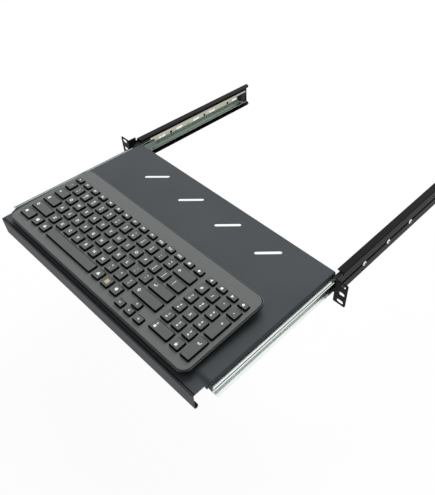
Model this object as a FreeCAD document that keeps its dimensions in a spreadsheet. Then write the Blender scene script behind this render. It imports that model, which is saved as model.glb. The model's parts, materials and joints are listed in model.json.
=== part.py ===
import FreeCAD
import Part
import math
import os

import Sketcher
from FreeCAD import Placement, Rotation, Vector

document = FreeCAD.newDocument("rack_keyboard_tray")
sheet = document.addObject("Spreadsheet::Sheet", "Sizes")

# Driving dimensions in millimetres and degrees: alias, value, what it is.
# X runs across the rack, Y from front to back and Z up.  The origin is the middle of the
# rack-hole pattern, on the face of the ears that meets the rack.
DIMENSIONS = (
    ("rack_width", 482.6, "ear tip to ear tip"),
    ("rack_hole_span", 465.1, "between the two columns of rack holes"),
    ("rack_hole_step", 15.875, "between neighbouring rack holes"),
    ("ear_height", 43.6, "one rack unit less its clearance"),
    ("ear_corner", 2.5, "rounded outer corners of the ear"),
    ("ear_slot_length", 11.0, "rack slot, end to end"),
    ("ear_slot_width", 7.0, "rack slot"),
    ("bracket_sheet", 1.5, "steel sheet of the side brackets"),
    ("bracket_depth", 280.0, "from the ear's rear face to the bracket's rear end"),
    ("bracket_bend", 2.0, "outer bend radius of the brackets"),
    ("rail_room", 4.5, "bracket flange to outer rail"),
    ("bracket_flange", 11.5, "flange width with the web"),
    ("block_length", 13.0, "tall part of the web behind the ear"),
    ("relief_length", 3.0, "bend relief behind the tall part"),
    ("relief_depth", 4.0, "bend relief, down from the flange"),
    ("slide_space", 10.5, "between tray flange and bracket web"),
    ("slide_height", 27.0, "outer rail over its raceways"),
    ("rail_sheet", 1.2, "steel sheet of both rails"),
    ("ball_diameter", 5.0, "bearing balls"),
    ("ball_clearance", 0.05, "ball to raceway"),
    ("race_end_angle", 10.0, "raceway lip stops this far above or below the ball's middle"),
    ("outer_rail_start", 4.0, "behind the ear's rear face"),
    ("outer_rail_length", 264.0, "outer rail"),
    ("inner_rail_length", 256.0, "inner rail"),
    ("rail_overlap", 40.0, "inner rail inside the outer rail with the tray pulled out"),
    ("rail_hole_first", 46.0, "first hole of the outer rail, from the ear"),
    ("rail_hole_step", 20.0, "outer rail hole spacing"),
    ("rail_hole", 5.0, "open holes in the rails"),
    ("rail_slot_length", 15.0, "slots in the outer rail"),
    ("rear_slot_inset", 22.0, "last slot of the outer rail, from its rear end"),
    ("cage_length", 36.0, "ball cage"),
    ("cage_sheet", 0.4, "steel strip of the ball cage"),
    ("cage_clearance", 0.25, "cage to rail"),
    ("cage_hole_play", 0.03, "ball to cage hole, on the radius"),
    ("cage_rim", 0.7, "strip left beside a ball"),
    ("ball_step", 12.0, "between neighbouring balls"),
    ("bumper_length", 10.0, "rear stop block along the rail"),
    ("bumper_inset", 1.7, "rear stop block to the rail's rear end"),
    ("bumper_nose", 3.0, "rounding of the stop block"),
    ("bumper_setback", 1.0, "stop block to the inner rail's web plane"),
    ("screw_shank", 4.0, "screw shank diameter"),
    ("screw_play", 0.2, "screw shank to hole, on the radius"),
    ("screw_head", 7.6, "screw head diameter"),
    ("screw_head_height", 1.9, "screw head"),
    ("tray_width", 420.0, "over the side flanges"),
    ("tray_sheet", 1.2, "steel sheet of the tray"),
    ("tray_level", 14.0, "top of the tray above the middle rack hole"),
    ("tray_rear", 14.0, "rear edge behind the ear's rear face"),
    ("flange_length", 233.0, "side flanges, from the rear edge"),
    ("flange_drop", 26.0, "side flanges, down from the top"),
    ("flange_slant", 9.0, "slanted front end of the side flanges"),
    ("tray_bend", 2.2, "outer bend radius"),
    ("lip_width", 412.0, "front strip and lip"),
    ("strip_length", 17.0, "front strip ahead of the flanges"),
    ("strip_drop", 3.5, "front strip below the pan"),
    ("joggle_length", 6.0, "slope between the pan and the front strip"),
    ("joggle_setback", 2.5, "foot of the slope behind the flanges' front ends"),
    ("lip_drop", 33.5, "front lip, down from the top"),
    ("hem_radius", 2.7, "rolled hem of the lip"),
    ("hem_return", 3.0, "straight end of the rolled hem"),
    ("tie_slot_length", 39.0, "diagonal slots, end to end"),
    ("tie_slot_width", 6.0, "diagonal slots"),
    ("tie_slot_angle", 45.0, "diagonal slots, from the rear edge"),
    ("tie_slot_step", 80.0, "between neighbouring diagonal slots"),
    ("tie_slot_setback", 36.4, "slot middles ahead of the rear edge"),
    ("tray_screw_first", 34.0, "first tray screw behind the inner rail's front end"),
    ("tray_screw_step", 84.0, "between neighbouring tray screws"),
    ("key_step", 19.05, "key spacing across"),
    ("row_step", 18.2, "key spacing front to back"),
    ("key_gap", 4.0, "between two keys at their feet"),
    ("key_taper", 0.9, "how much a key narrows on each side"),
    ("key_proud", 2.8, "key top above the deck"),
    ("key_travel", 1.5, "how far a key goes down"),
    ("key_rest_gap", 0.3, "pressed key to the dome sheet"),
    ("key_well_play", 0.6, "key cap to its opening, each side"),
    ("function_step", 15.8, "number row to function row"),
    ("function_depth", 8.6, "function keys, front to back"),
    ("arrow_depth", 9.8, "arrow keys, front to back"),
    ("arrow_gap", 2.2, "deck between the two arrow rows"),
    ("arrow_rise", 1.0, "upper arrow key behind the rear edge of the space bar"),
    ("bottom_row", 21.9, "middle of the space bar from the keyboard's front edge"),
    ("left_margin", 6.0, "deck left of the keys"),
    ("block_gap", 4.0, "between main block and number pad"),
    ("right_margin", 6.0, "deck right of the keys"),
    ("rear_strip", 22.9, "deck behind the function keys"),
    ("keyboard_shift", -5.0, "keyboard's middle from the tray's middle"),
    ("keyboard_inset", 6.8, "keyboard's front edge behind the tray lip"),
    ("keyboard_corner", 13.0, "rounded corners of the keyboard"),
    ("keyboard_lift", 1.1, "keyboard's front edge above the tray"),
    ("slab_height", 6.0, "keyboard without keys and feet"),
    ("slab_split", 3.0, "seam between both shells above the underside"),
    ("slab_round", 1.6, "rounded top edge"),
    ("shell_wall", 1.8, "outer walls of both shells"),
    ("shell_floor", 1.2, "floor of the lower shell"),
    ("deck_thickness", 1.5, "key deck"),
    ("sheet_play", 0.5, "inner sheets to the walls"),
    ("membrane_thickness", 0.4, "contact membrane"),
    ("dome_thickness", 0.6, "rubber dome sheet"),
    ("battery_setback", 17.5, "battery middle ahead of the keyboard's rear edge"),
    ("hump_depth", 27.0, "battery hump, front to back"),
    ("hump_slope", 4.0, "sloping sides of the hump"),
    ("hump_width", 300.0, "battery hump across"),
    ("hump_wall", 1.0, "floor of the hump and its door"),
    ("foot_height", 0.8, "rubber feet below the hump"),
    ("foot_width", 30.0, "rubber feet across"),
    ("foot_depth", 8.0, "rubber feet, front to back"),
    ("foot_span", 240.0, "between the feet, middle to middle"),
    ("front_foot", 21.0, "front feet from the keyboard's front edge"),
    ("battery_diameter", 10.0, "battery cell"),
    ("battery_length", 44.5, "battery cell"),
    ("battery_play", 0.4, "battery cell to its bay"),
    ("door_play", 0.2, "battery door to its opening"),
    ("board_width", 60.0, "circuit board across"),
    ("board_depth", 12.0, "circuit board, front to back"),
    ("board_thickness", 1.2, "circuit board"),
    ("board_place", 100.0, "circuit board's middle, right of the keyboard's middle"),
)


class Size:
    # A length that carries its sheet formula, so that every feature stays bound to the sheet.
    def __init__(self, formula, value):
        self.formula = formula
        self.value = value

    def __add__(self, other):
        other = as_size(other)
        return Size(f"({self.formula} + {other.formula})", self.value + other.value)

    def __sub__(self, other):
        other = as_size(other)
        return Size(f"({self.formula} - {other.formula})", self.value - other.value)

    def __mul__(self, other):
        other = as_size(other)
        return Size(f"({self.formula} * {other.formula})", self.value * other.value)

    def __truediv__(self, other):
        other = as_size(other)
        return Size(f"({self.formula} / {other.formula})", self.value / other.value)

    def __neg__(self):
        return Size(f"(0 - {self.formula})", -self.value)


def as_size(number):
    if isinstance(number, Size):
        return number
    return Size(f"({number})", float(number))


def sine(angle):
    return Size(f"sin({angle.formula})", math.sin(math.radians(angle.value)))


def cosine(angle):
    return Size(f"cos({angle.formula})", math.cos(math.radians(angle.value)))


def slope_angle(slope):
    return Size(f"atan({slope.formula})", math.degrees(math.atan(slope.value)))


class Dimensions:
    pass


d = Dimensions()
for line, (alias, value, note) in enumerate(DIMENSIONS, start=1):
    sheet.set(f"A{line}", note)
    sheet.set(f"B{line}", str(value))
    sheet.setAlias(f"B{line}", alias)
    setattr(d, alias, Size(f"Sizes.{alias}", value))
document.recompute()

ZERO = as_size(0)
COUNTER = "counterclockwise"
CLOCKWISE = "clockwise"


# Shared ways of making a sub-part.
def bind(item, **sizes):
    for name, size in sizes.items():
        item.setExpression(name.replace("__", "."), as_size(size).formula)
        # __ stands for the dot of a nested property


def new_body(label):
    body = document.addObject("PartDesign::Body", label)
    body.Label = label
    return body


def origin_plane(body, role):
    for feature in body.Origin.OriginFeatures:
        if feature.Role == role:
            return feature
    raise RuntimeError(f"{body.Label} has no {role}")


def new_sketch(body, name, role, level=ZERO):
    sketch = body.newObject("Sketcher::SketchObject", f"{body.Name}_{name}")
    sketch.AttachmentSupport = [(origin_plane(body, role), "")]
    sketch.MapMode = "FlatFace"
    bind(sketch, AttachmentOffset__Base__z=level)
    return sketch


def pin_point(sketch, geometry, vertex, across, up):
    for kind, size in (("DistanceX", across), ("DistanceY", up)):
        if size is None:
            continue
        size = as_size(size)
        index = sketch.addConstraint(Sketcher.Constraint(kind, -1, 1, geometry, vertex, size.value))
        sketch.setExpression(f"Constraints[{index}]", size.formula)


def draw_outline(sketch, steps):
    # Each step is (across, up) for a straight run to that point, or
    # (across, up, centre across, centre up, way round) for an arc to it.
    points = [Vector(as_size(step[0]).value, as_size(step[1]).value, 0) for step in steps]
    ends = []
    for index, step in enumerate(steps):
        start, end = points[index - 1], points[index]
        if len(step) == 2:
            geometry = sketch.addGeometry(Part.LineSegment(start, end), False)
            ends.append((geometry, 1, 2))
        else:
            centre = Vector(as_size(step[2]).value, as_size(step[3]).value, 0)
            circle = Part.Circle(centre, Vector(0, 0, 1), (end - centre).Length)
            first, last = circle.parameter(start), circle.parameter(end)
            if step[4] == CLOCKWISE:
                first, last = last, first
            geometry = sketch.addGeometry(Part.ArcOfCircle(circle, first, last), False)
            ends.append((geometry, 2, 1) if step[4] == CLOCKWISE else (geometry, 1, 2))
            chord = end - start
            steep = abs(chord.y) >= abs(chord.x)
            pin_point(sketch, geometry, 3, step[2] if steep else None, None if steep else step[3])
    for index, step in enumerate(steps):
        geometry, _, vertex = ends[index]
        following, first_vertex, _ = ends[(index + 1) % len(steps)]
        sketch.addConstraint(
            Sketcher.Constraint("Coincident", geometry, vertex, following, first_vertex))
        pin_point(sketch, geometry, vertex, step[0], step[1])


def hole_outline(across, up, width, length=None):
    # A small round hole, or a slot along the sketch, in twelve flats that touch the true circle.
    run = (length - width) / 2 if length else ZERO
    reach = width / 2 / round(math.cos(math.radians(15)), 6)
    steps = []
    for number in range(12):
        angle = math.radians(30 * number - 75)
        middle = across + run if number < 6 else across - run
        steps.append((middle + reach * round(math.cos(angle), 6), up + reach * round(math.sin(angle), 6)))
    return steps


def rectangle(left, low, right, high):
    return [(left, low), (right, low), (right, high), (left, high)]


def rounded_rectangle(left, low, right, high, radius):
    return [
        (right - radius, low),
        (right, low + radius, right - radius, low + radius, COUNTER),
        (right, high - radius),
        (right - radius, high, right - radius, high - radius, COUNTER),
        (left + radius, high),
        (left, high - radius, left + radius, high - radius, COUNTER),
        (left, low + radius),
        (left + radius, low, left + radius, low + radius, COUNTER),
    ]


def slot_outline(across, up, length, width, angle):
    reach = (length - width) / 2
    run_across, run_up = reach * cosine(angle), reach * sine(angle)
    side_across, side_up = width / 2 * sine(angle), width / 2 * cosine(angle)
    near_across, near_up = across - run_across, up - run_up
    far_across, far_up = across + run_across, up + run_up
    return [
        (near_across - side_across, near_up + side_up),
        (near_across + side_across, near_up - side_up, near_across, near_up, COUNTER),
        (far_across + side_across, far_up - side_up),
        (far_across - side_across, far_up + side_up, far_across, far_up, COUNTER),
    ]


def add_pad(body, sketch, length, backwards=False):
    pad = body.newObject("PartDesign::Pad", f"{sketch.Name}_pad")
    pad.Profile = sketch
    pad.Reversed = backwards
    bind(pad, Length=length)
    document.recompute()
    return pad


def add_pocket(body, sketch, length, backwards=False):
    before = body.Shape.Volume
    pocket = body.newObject("PartDesign::Pocket", f"{sketch.Name}_pocket")
    pocket.Profile = sketch
    pocket.Reversed = backwards
    bind(pocket, Length=length)
    document.recompute()
    if body.Shape.Volume >= before:
        raise RuntimeError(f"{sketch.Name} cuts nothing")
    return pocket


def edges_at(feature, places):
    # Names of the straight edges that lie at the given places; None is a way that they run.
    names = []
    for number, edge in enumerate(feature.Shape.Edges, start=1):
        ends = [vertex.Point for vertex in edge.Vertexes]
        for place in places:
            if all(size is None or abs(end[axis] - as_size(size).value) < 0.001
                   for end in ends for axis, size in enumerate(place)):
                names.append(f"Edge{number}")
    return names


def add_fillet(body, feature, radius, places):
    fillet = body.newObject("PartDesign::Fillet", f"{feature.Name}_fillet")
    fillet.Base = (feature, edges_at(feature, places))
    bind(fillet, Radius=radius)
    document.recompute()
    return fillet


def mirror_across(source, label):
    twin = document.addObject("Part::Mirroring", label)
    twin.Label = label
    twin.Source = source
    twin.Base = Vector(0, 0, 0)
    twin.Normal = Vector(1, 0, 0)
    return twin


def group_solids(label, solids):
    group = document.addObject("Part::Compound", label)
    group.Label = label
    group.Links = solids
    return group


# Places that several sub-parts share.
half_tray = d.tray_width / 2
web_inside = half_tray + d.slide_space
web_outside = web_inside + d.bracket_sheet
race_inner = d.ball_diameter / 2 + d.ball_clearance
race_outer = race_inner + d.rail_sheet
rail_web_inside = web_inside - d.rail_sheet
cage_room = d.cage_sheet + d.cage_clearance * 2
ball_across = rail_web_inside - cage_room - race_outer
ball_up = d.slide_height / 2 - race_outer
race_reach = cosine(d.race_end_angle)
race_rise = sine(d.race_end_angle)
outer_rail_end = d.outer_rail_start + d.outer_rail_length
inner_rail_rear = d.outer_rail_start + d.rail_overlap
inner_rail_front = inner_rail_rear - d.inner_rail_length
flange_front = d.tray_rear - d.flange_length
lip_face = flange_front - d.strip_length
screw_hole = d.screw_shank + d.screw_play * 2


def rail_hole_place(number):
    return d.rail_hole_first + d.rail_hole_step * number


def tray_screw_place(number):
    return inner_rail_front + d.tray_screw_first + d.tray_screw_step * number


RAIL_SCREWS = (1, 4, 7)
RAIL_HOLES = (0, 2, 6, 9)
RAIL_SLOTS = (3, 5)
TRAY_SCREWS = (0, 1, 2)


# Side bracket: web, rack ear with slots, and two flanges behind the bend relief.
def make_bracket(label):
    body = new_body(label)
    half_ear = d.ear_height / 2
    half_web = d.slide_height / 2 + d.rail_room + d.bracket_sheet
    flange_start = d.block_length + d.relief_length
    relief = half_web - d.relief_depth

    web = new_sketch(body, "web", "YZ_Plane", web_inside)
    draw_outline(web, [
        (-d.bracket_sheet, -half_ear),
        (d.block_length, -half_ear),
        (d.block_length, -relief),
        (flange_start, -relief),
        (flange_start, -half_web),
        (d.bracket_depth, -half_web),
        (d.bracket_depth, half_web),
        (flange_start, half_web),
        (flange_start, relief),
        (d.block_length, relief),
        (d.block_length, half_ear),
        (-d.bracket_sheet, half_ear),
    ])
    add_pad(body, web, d.bracket_sheet)

    flanges = new_sketch(body, "flanges", "XZ_Plane", -flange_start)
    flange_edge = web_outside - d.bracket_flange
    for low, high in ((half_web - d.bracket_sheet, half_web), (-half_web, d.bracket_sheet - half_web)):
        draw_outline(flanges, rectangle(flange_edge, low, web_outside, high))
    add_pad(body, flanges, d.bracket_depth - flange_start, backwards=True)

    ear = new_sketch(body, "ear", "XZ_Plane")
    tip = d.rack_width / 2
    corner = d.ear_corner
    draw_outline(ear, [
        (web_inside, -half_ear),
        (tip - corner, -half_ear),
        (tip, corner - half_ear, tip - corner, corner - half_ear, COUNTER),
        (tip, half_ear - corner),
        (tip - corner, half_ear, tip - corner, half_ear - corner, COUNTER),
        (web_inside, half_ear),
    ])
    blank = add_pad(body, ear, d.bracket_sheet)
    add_fillet(body, blank, d.bracket_bend, [
        (web_inside, -d.bracket_sheet, None),
        (web_outside, None, half_web),
        (web_outside, None, -half_web),
    ])

    slots = new_sketch(body, "rack_slots", "XZ_Plane")
    for number in (-1, 0, 1):
        draw_outline(slots, slot_outline(d.rack_hole_span / 2, d.rack_hole_step * number,
                                         d.ear_slot_length, d.ear_slot_width, ZERO))
    add_pocket(body, slots, d.bracket_sheet, backwards=True)

    holes = new_sketch(body, "screw_holes", "YZ_Plane", web_inside)
    for number in RAIL_SCREWS:
        draw_outline(holes, hole_outline(rail_hole_place(number), ZERO, screw_hole))
    add_pocket(body, holes, d.bracket_sheet, backwards=True)
    return body


# Outer rail: a channel whose two edges curl over the balls.
def make_outer_rail(label):
    body = new_body(label)
    half = d.slide_height / 2
    floor = ball_up + race_inner
    profile = new_sketch(body, "profile", "XZ_Plane", -d.outer_rail_start)
    draw_outline(profile, [
        (web_inside, half),
        (ball_across, half),
        (ball_across - race_outer * race_reach, ball_up + race_outer * race_rise,
         ball_across, ball_up, COUNTER),
        (ball_across - race_inner * race_reach, ball_up + race_inner * race_rise),
        (ball_across, floor, ball_across, ball_up, CLOCKWISE),
        (rail_web_inside, floor),
        (rail_web_inside, -floor),
        (ball_across, -floor),
        (ball_across - race_inner * race_reach, -ball_up - race_inner * race_rise,
         ball_across, -ball_up, CLOCKWISE),
        (ball_across - race_outer * race_reach, -ball_up - race_outer * race_rise),
        (ball_across, -half, ball_across, -ball_up, COUNTER),
        (web_inside, -half),
    ])
    add_pad(body, profile, d.outer_rail_length, backwards=True)

    holes = new_sketch(body, "holes", "YZ_Plane", rail_web_inside)
    for number in RAIL_SCREWS:
        draw_outline(holes, hole_outline(rail_hole_place(number), ZERO, screw_hole))
    for number in RAIL_HOLES:
        draw_outline(holes, hole_outline(rail_hole_place(number), ZERO, d.rail_hole))
    slot_places = [rail_hole_place(number) for number in RAIL_SLOTS]
    for place in slot_places + [outer_rail_end - d.rear_slot_inset]:
        draw_outline(holes, hole_outline(place, ZERO, d.rail_hole, d.rail_slot_length))
    add_pocket(body, holes, d.rail_sheet, backwards=True)
    return body


# Inner rail: a smaller channel on the tray flange, open to the outer rail.
def make_inner_rail(label):
    body = new_body(label)
    top = ball_up - race_inner
    under = ball_up - race_outer
    web = half_tray + d.rail_sheet
    profile = new_sketch(body, "profile", "XZ_Plane", -inner_rail_front)
    draw_outline(profile, [
        (half_tray, top),
        (half_tray, -top),
        (ball_across, -top),
        (ball_across + race_inner * race_reach, -ball_up + race_inner * race_rise,
         ball_across, -ball_up, CLOCKWISE),
        (ball_across + race_outer * race_reach, -ball_up + race_outer * race_rise),
        (ball_across, -under, ball_across, -ball_up, COUNTER),
        (web, -under),
        (web, under),
        (ball_across, under),
        (ball_across + race_outer * race_reach, ball_up - race_outer * race_rise,
         ball_across, ball_up, COUNTER),
        (ball_across + race_inner * race_reach, ball_up - race_inner * race_rise),
        (ball_across, top, ball_across, ball_up, CLOCKWISE),
    ])
    add_pad(body, profile, d.inner_rail_length, backwards=True)

    holes = new_sketch(body, "holes", "YZ_Plane", half_tray)
    for number in TRAY_SCREWS:
        draw_outline(holes, hole_outline(tray_screw_place(number), ZERO, screw_hole))
    add_pocket(body, holes, d.rail_sheet, backwards=True)
    return body


# Ball cage: a bent strip between the rails with a hole for every ball.
cage_middle = d.outer_rail_start + d.rail_overlap / 2
cage_web = rail_web_inside - d.cage_clearance - d.cage_sheet


def ball_place(number):
    return cage_middle + d.ball_step * number


BALLS = (-1, 0, 1)


def make_cage(label):
    body = new_body(label)
    half_strip = d.cage_sheet / 2
    arm_end = ball_across - d.ball_diameter / 2 - d.cage_rim
    cage_back = cage_web + d.cage_sheet
    front = cage_middle - d.cage_length / 2
    profile = new_sketch(body, "profile", "XZ_Plane", -front)
    draw_outline(profile, [
        (arm_end, ball_up + half_strip),
        (arm_end, ball_up - half_strip),
        (cage_web, ball_up - half_strip),
        (cage_web, half_strip - ball_up),
        (arm_end, half_strip - ball_up),
        (arm_end, -ball_up - half_strip),
        (cage_back, -ball_up - half_strip),
        (cage_back, ball_up + half_strip),
    ])
    add_pad(body, profile, d.cage_length, backwards=True)

    holes = new_sketch(body, "ball_holes", "XY_Plane", ball_up + half_strip)
    for number in BALLS:
        draw_outline(holes, hole_outline(ball_across, ball_place(number),
                                         d.ball_diameter + d.cage_hole_play * 2))
    add_pocket(body, holes, d.slide_height)
    return body


# Bearing balls with flat facets: eight sides, chamfered to a smaller face above and below.
BALL_SIDES = 8


def make_ball(label, place, height):
    body = new_body(label)
    girth = d.ball_diameter * 0.45
    half = d.ball_diameter * 0.448
    ring = new_sketch(body, "ring", "XY_Plane", -half)
    corners = [math.radians(360 / BALL_SIDES * (number + 0.5)) for number in range(BALL_SIDES)]
    draw_outline(ring, [(girth * round(math.cos(corner), 6), girth * round(math.sin(corner), 6))
                        for corner in corners])
    drum = add_pad(body, ring, half * 2)
    facets = body.newObject("PartDesign::Chamfer", f"{label}_facets")
    facets.Base = (drum, edges_at(drum, [(None, None, -half), (None, None, half)]))
    bind(facets, Size=d.ball_diameter * 0.23)
    bind(body, Placement__Base__x=ball_across, Placement__Base__y=place, Placement__Base__z=height)
    return body


def make_balls(label):
    return group_solids(label, [make_ball(f"{label}_ball", ball_place(number), height)
                                for height in (ball_up, -ball_up) for number in BALLS])


# Rear stop block inside the outer rail.
def make_bumper(label):
    body = new_body(label)
    half = ball_up - race_inner
    rear = outer_rail_end - d.bumper_inset
    front = rear - d.bumper_length
    near = half_tray + d.rail_sheet + d.bumper_setback
    nose = d.bumper_nose
    block = new_sketch(body, "block", "XY_Plane", -half)
    draw_outline(block, [
        (rail_web_inside, front),
        (rail_web_inside, rear),
        (near, rear),
        (near, front + nose),
        (near + nose, front, near + nose, front + nose, COUNTER),
    ])
    add_pad(body, block, half * 2)
    return body


# Pan-head screws.  The head sits on its seat, facing away from the tray or towards it.
def make_screw(label, seat, place, shank_length, outward):
    turn = 90 if outward else -90
    head = document.addObject("Part::Prism", f"{label}_head")
    head.Polygon = 16
    bind(head, Circumradius=d.screw_head / 2, Height=d.screw_head_height)
    shank = document.addObject("Part::Prism", f"{label}_shank")
    shank.Polygon = 12
    bind(shank, Circumradius=d.screw_shank / 2, Height=shank_length)
    head.Placement = Placement(Vector(), Rotation(Vector(0, 1, 0), turn))
    shank.Placement = Placement(Vector(), Rotation(Vector(0, 1, 0), -turn))
    screw = document.addObject("Part::Fuse", f"{label}_screw")
    screw.Base = head
    screw.Tool = shank
    for item in (head, shank):
        bind(item, Placement__Base__x=seat, Placement__Base__y=place)
    return screw


def make_screws(label, seat, shank_length, outward, places):
    right = [make_screw(label, seat, place, shank_length, outward) for place in places]
    left = [mirror_across(screw, f"{label}_twin") for screw in right]
    return group_solids(label, right + left)


# Tray: top sheet with side flanges, front lip with a rolled hem and diagonal slots.
def make_tray(label):
    body = new_body(label)
    top = d.tray_level
    thin = d.tray_sheet
    bend = d.tray_bend
    low = top - d.flange_drop
    level = top - bend
    inset = half_tray - bend
    pan = new_sketch(body, "pan", "XZ_Plane", -flange_front)
    draw_outline(pan, [
        (half_tray, low),
        (half_tray, level),
        (inset, top, inset, level, COUNTER),
        (-inset, top),
        (-half_tray, level, -inset, level, COUNTER),
        (-half_tray, low),
        (thin - half_tray, low),
        (thin - half_tray, level),
        (-inset, top - thin, -inset, level, CLOCKWISE),
        (inset, top - thin),
        (half_tray - thin, level, inset, level, CLOCKWISE),
        (half_tray - thin, low),
    ])
    add_pad(body, pan, d.flange_length, backwards=True)

    slant = new_sketch(body, "flange_ends", "YZ_Plane", -half_tray)
    draw_outline(slant, [
        (flange_front, low),
        (flange_front + d.flange_slant, low),
        (flange_front, level),
    ])
    add_pocket(body, slant, d.tray_width, backwards=True)

    strip = top - d.strip_drop
    slope_foot = flange_front + d.joggle_setback
    slope_head = slope_foot + d.joggle_length
    drop = new_sketch(body, "front_drop", "YZ_Plane", -half_tray)
    draw_outline(drop, [
        (slope_head, top),
        (slope_foot, strip),
        (flange_front, strip),
        (flange_front, top),
    ])
    add_pocket(body, drop, d.tray_width, backwards=True)

    joggle = new_sketch(body, "joggle", "YZ_Plane", -half_tray)
    draw_outline(joggle, [
        (slope_head + thin, top),
        (slope_head, top),
        (slope_foot, strip),
        (slope_foot - thin, strip),
        (slope_foot - thin, strip - thin),
        (slope_foot, strip - thin),
        (slope_head, top - thin),
        (slope_head + thin, top - thin),
    ])
    add_pad(body, joggle, d.tray_width)

    hem_middle = lip_face + d.hem_radius
    lip_bend = strip - bend
    hem_level = top - d.lip_drop + d.hem_radius
    hem_back = hem_middle + d.hem_radius
    lip = new_sketch(body, "lip", "YZ_Plane", -d.lip_width / 2)
    draw_outline(lip, [
        (slope_foot, strip),
        (lip_face + bend, strip),
        (lip_face, lip_bend, lip_face + bend, lip_bend, COUNTER),
        (lip_face, hem_level),
        (hem_back, hem_level, hem_middle, hem_level, COUNTER),
        (hem_back, hem_level + d.hem_return),
        (hem_back - thin, hem_level + d.hem_return),
        (hem_back - thin, hem_level),
        (lip_face + thin, hem_level, hem_middle, hem_level, CLOCKWISE),
        (lip_face + thin, lip_bend),
        (lip_face + bend, strip - thin, lip_face + bend, lip_bend, CLOCKWISE),
        (slope_foot, strip - thin),
    ])
    add_pad(body, lip, d.lip_width)

    slots = new_sketch(body, "tie_slots", "XY_Plane", top)
    for number in (-1.5, -0.5, 0.5, 1.5):
        draw_outline(slots, slot_outline(d.tie_slot_step * number, d.tray_rear - d.tie_slot_setback,
                                         d.tie_slot_length, d.tie_slot_width, d.tie_slot_angle))
    add_pocket(body, slots, thin)

    holes = new_sketch(body, "screw_holes", "YZ_Plane", -half_tray)
    for number in TRAY_SCREWS:
        draw_outline(holes, hole_outline(tray_screw_place(number), ZERO, screw_hole))
    add_pocket(body, holes, d.tray_width, backwards=True)
    return body


# Keyboard.  It is laid out flat, from its front edge, and then tilted onto the tray.
main_width = d.key_step * 15
pad_width = d.key_step * 4
keyboard_width = d.left_margin + main_width + d.block_gap + pad_width + d.right_margin
keyboard_left = -keyboard_width / 2
keyboard_right = keyboard_width / 2
main_left = keyboard_left + d.left_margin
pad_left = main_left + main_width + d.block_gap
dome_level = d.shell_floor + d.membrane_thickness
key_bottom = dome_level + d.dome_thickness + d.key_rest_gap + d.key_travel
key_height = d.slab_height + d.key_proud - key_bottom
row_depth = d.row_step - d.key_gap


def row_place(row):
    return d.bottom_row + d.row_step * row


function_place = row_place(4) + d.function_step
arrow_high_place = d.bottom_row + row_depth / 2 + d.arrow_rise - d.arrow_depth / 2
arrow_low_place = arrow_high_place - d.arrow_depth - d.arrow_gap
keyboard_depth = function_place + d.function_depth / 2 + d.rear_strip
battery_place = keyboard_depth - d.battery_setback
bay_half_depth = d.battery_diameter / 2 + d.battery_play
bay_half_width = d.battery_length + d.battery_play * 2
sheet_rear = battery_place - bay_half_depth - d.sheet_play

# The batteries set how deep the hump is, and so how far the keyboard tilts.
deck_underside = d.slab_height - d.deck_thickness
hump_drop = d.battery_diameter + d.battery_play + d.hump_wall - deck_underside
tray_slope = (hump_drop + d.foot_height - d.keyboard_lift) / battery_place
keyboard_tilt = slope_angle(tray_slope)


def tray_below(place):
    # Level of the tray against the keyboard's underside plane.
    return -(d.keyboard_lift + tray_slope * place)


def hump_floor(place):
    return tray_below(place) + d.foot_height


def lay_on_tray(item):
    item.Placement = Placement(Vector(), Rotation(Vector(1, 0, 0), keyboard_tilt.value))
    bind(item, Placement__Rotation__Angle=keyboard_tilt, Placement__Base__x=d.keyboard_shift,
         Placement__Base__y=lip_face + d.keyboard_inset,
         Placement__Base__z=d.tray_level + d.keyboard_lift * cosine(keyboard_tilt))
    return item


FUNCTION_ROW = "function"
ARROW_LOW = "arrow low"
ARROW_HIGH = "arrow high"
MAIN = "main block"
PAD = "number pad"


# Every key: node, block, row, first column, width in key steps, rows that it covers.
def row_of_keys(node, block, row, first, count, width=1.0, rows=1):
    return [(node, block, row, first + width * number, width, rows) for number in range(count)]


KEYS = (
    row_of_keys("function_keys", MAIN, FUNCTION_ROW, 0, 15)
    + row_of_keys("media_keys", PAD, FUNCTION_ROW, 0, 4)
    + row_of_keys("number_keys", MAIN, 4, 0, 13)
    + row_of_keys("backspace_key", MAIN, 4, 13, 1, 2.0)
    + row_of_keys("tab_key", MAIN, 3, 0, 1, 1.5)
    + row_of_keys("upper_letter_keys", MAIN, 3, 1.5, 12)
    + row_of_keys("backslash_key", MAIN, 3, 13.5, 1, 1.5)
    + row_of_keys("capitals_key", MAIN, 2, 0, 1, 1.75)
    + row_of_keys("home_letter_keys", MAIN, 2, 1.75, 11)
    + row_of_keys("enter_key", MAIN, 2, 12.75, 1, 2.25)
    + row_of_keys("left_shift_key", MAIN, 1, 0, 1, 2.25)
    + row_of_keys("lower_letter_keys", MAIN, 1, 2.25, 10)
    + row_of_keys("right_shift_key", MAIN, 1, 12.25, 1, 2.75)
    + row_of_keys("left_control_key", MAIN, 0, 0, 1, 1.5)
    + row_of_keys("modifier_keys", MAIN, 0, 1.5, 2)
    + row_of_keys("modifier_keys", MAIN, 0, 9.1, 3)
    + row_of_keys("space_bar", MAIN, 0, 3.5, 1, 5.6)
    + row_of_keys("arrow_keys", MAIN, ARROW_LOW, 12.15, 3, 0.95)
    + row_of_keys("arrow_keys", MAIN, ARROW_HIGH, 13.1, 1, 0.95)
    + row_of_keys("number_pad_keys", PAD, 4, 0, 4)
    + row_of_keys("number_pad_keys", PAD, 3, 0, 3)
    + row_of_keys("number_pad_keys", PAD, 2, 0, 3)
    + row_of_keys("number_pad_keys", PAD, 1, 0, 3)
    + row_of_keys("number_pad_keys", PAD, 0, 2, 1)
    + row_of_keys("pad_zero_key", PAD, 0, 0, 1, 2.0)
    + row_of_keys("pad_plus_key", PAD, 2, 3, 1, 1.0, 2)
    + row_of_keys("pad_enter_key", PAD, 0, 3, 1, 1.0, 2)
)


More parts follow.
